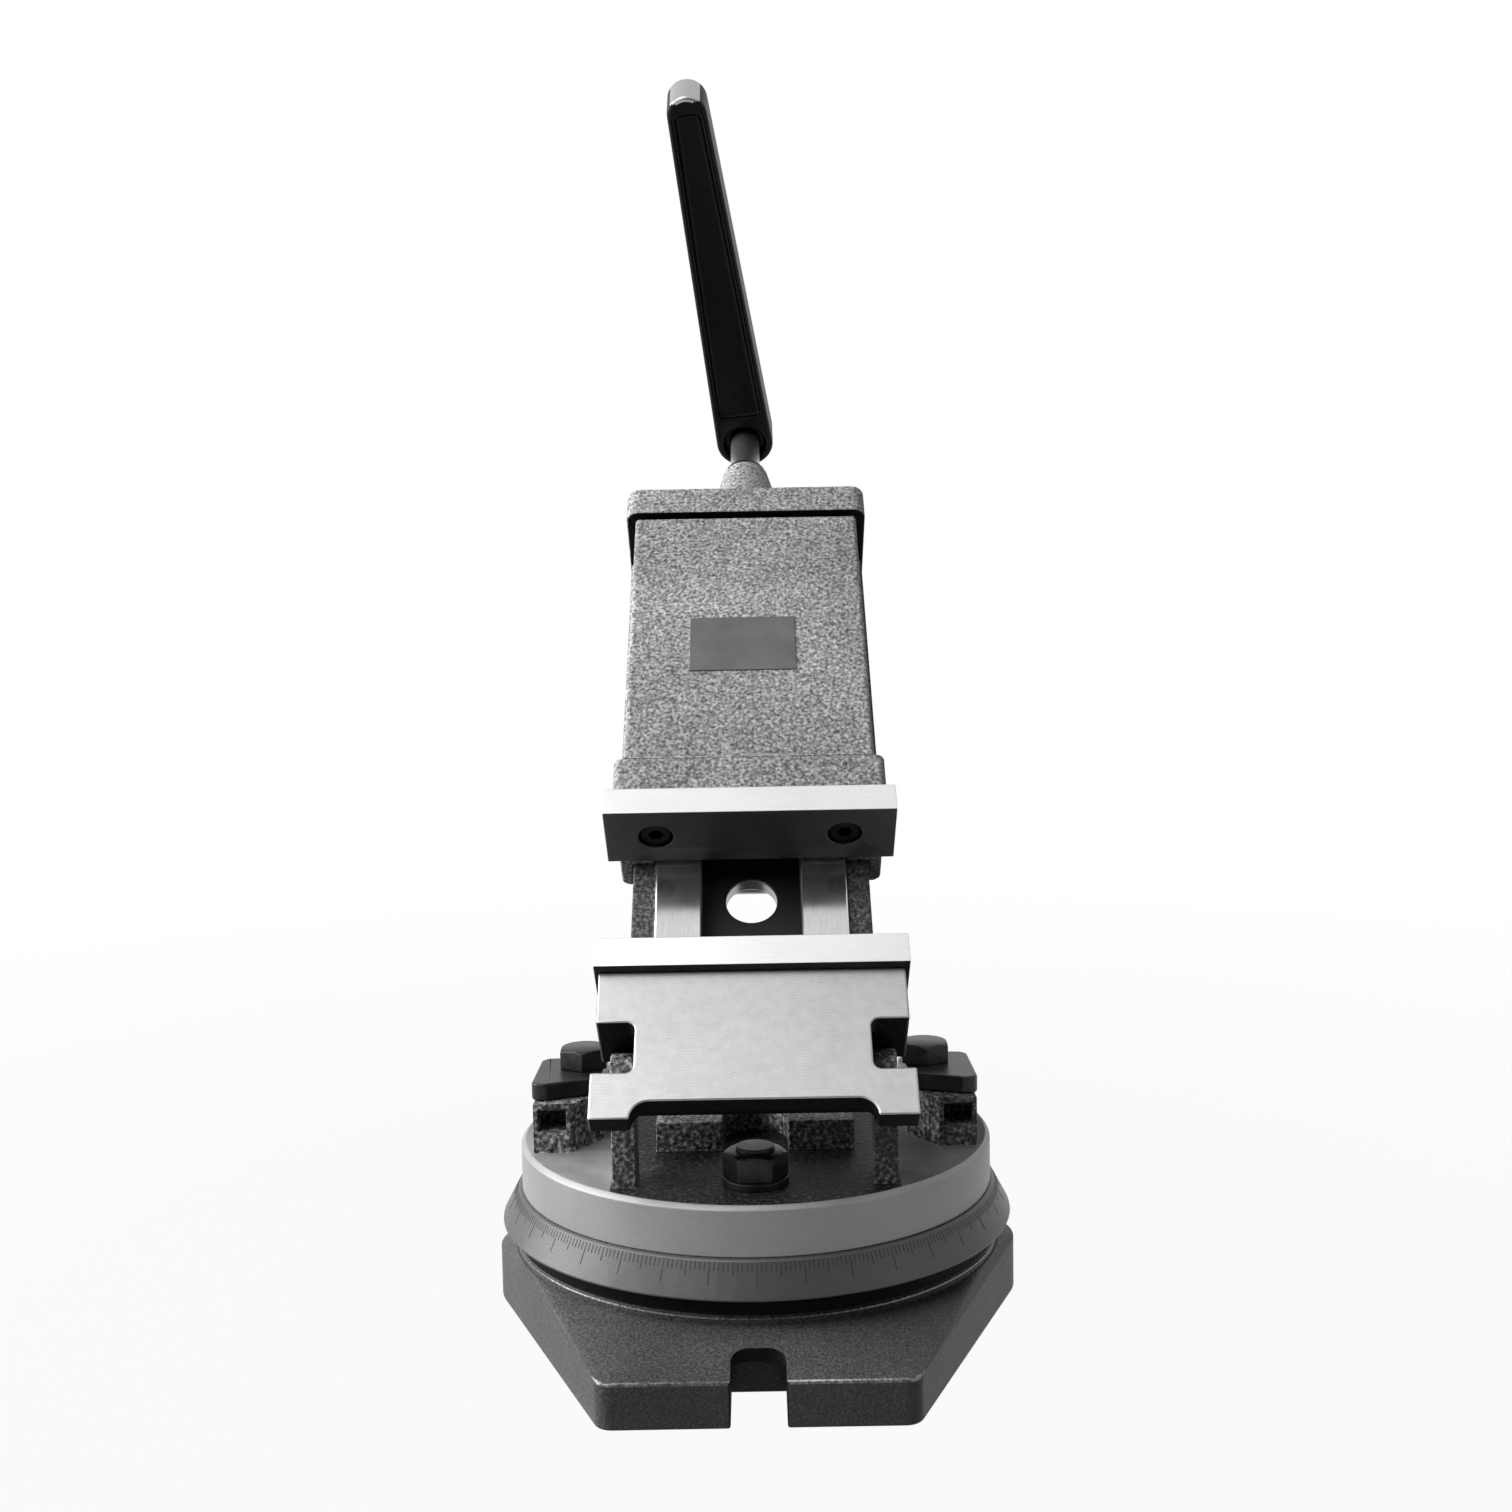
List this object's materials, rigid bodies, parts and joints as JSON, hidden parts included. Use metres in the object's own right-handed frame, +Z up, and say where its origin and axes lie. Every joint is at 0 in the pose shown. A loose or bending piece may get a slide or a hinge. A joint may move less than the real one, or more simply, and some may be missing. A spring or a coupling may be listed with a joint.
{
  "type": "sine vise",
  "caption": "Tilting machine vise on a graduated swivel base, its bed hinged at the fixed jaw and its hooded moving jaw driven by a lead screw with a crank handle.",
  "frame": {"origin": "on the swivel axis, on the table plane under the base", "axes": "+Z up along the swivel axis, +Y towards the handle end, +X along the tilt hinge"},
  "size_m": [0.179, 0.2962, 0.4342],
  "materials": {
    "base_paint": "dark hammered paint",
    "hammered_paint": "silver grey hammered paint",
    "plain_steel": "turned",
    "ground_steel": "ground",
    "black_oxide": "black oxide",
    "black_enamel": "gloss black enamel",
    "bronze": "turned bronze",
    "label_film": "dark film"
  },
  "bodies": {
    "base": {"swivel_base": "base_paint", "swivel_pivot": "plain_steel"},
    "swivel": {"swivel_plate": "hammered_paint", "swivel_lock_bolts": "black_oxide", "swivel_lock_straps": "black_oxide", "swivel_t_nuts": "plain_steel", "front_lock_stud": "black_oxide", "front_lock_nut": "black_oxide", "front_lock_washer": "black_oxide", "hinge_pin": "plain_steel", "tilt_lock_screws": "black_oxide"},
    "vise": {"vise_body": "hammered_paint", "hinge_bushes": "bronze", "sine_roller": "ground_steel", "sine_roller_screws": "black_oxide", "fixed_jaw_plate": "ground_steel", "fixed_jaw_screws": "black_oxide", "rear_bearing_block": "hammered_paint", "rear_block_bolts": "black_oxide", "screw_bush": "bronze", "thrust_washer": "bronze"},
    "jaw": {"moving_jaw": "hammered_paint", "moving_jaw_plate": "ground_steel", "moving_jaw_screws": "black_oxide", "jaw_keepers": "plain_steel", "keeper_screws": "black_oxide", "screw_nut": "bronze", "screw_nut_screws": "black_oxide", "label_plate": "label_film"},
    "screw": {"lead_screw": "plain_steel", "retaining_ring": "black_oxide", "crank_handle": "black_enamel", "handle_screw": "plain_steel"}
  },
  "joints": [
    {"name": "swivel_turn", "type": "hinge", "parent": "base", "child": "swivel", "pos_m": [0, 0, 0.041], "axis": [0, 0, 1], "continuous": true},
    {"name": "bed_tilt", "type": "hinge", "parent": "swivel", "child": "vise", "pos_m": [0, -0.056, 0.091], "axis": [1, 0, 0], "range_deg": [-45, 45]},
    {"name": "screw_turn", "type": "hinge", "parent": "vise", "child": "screw", "pos_m": [0, 0.12361, 0.26212], "axis": [0, 0.7071, 0.7071], "range_deg": [-4518, 225]},
    {"name": "jaw_slide", "type": "slide", "parent": "vise", "child": "jaw", "axis": [0, 0.7071, 0.7071], "range_m": [-0.0503, 0.0026]}
  ],
  "couplings": [
    {"joint": "jaw_slide", "follows": "screw_turn", "m_per_rad": 0.00063662}
  ]
}
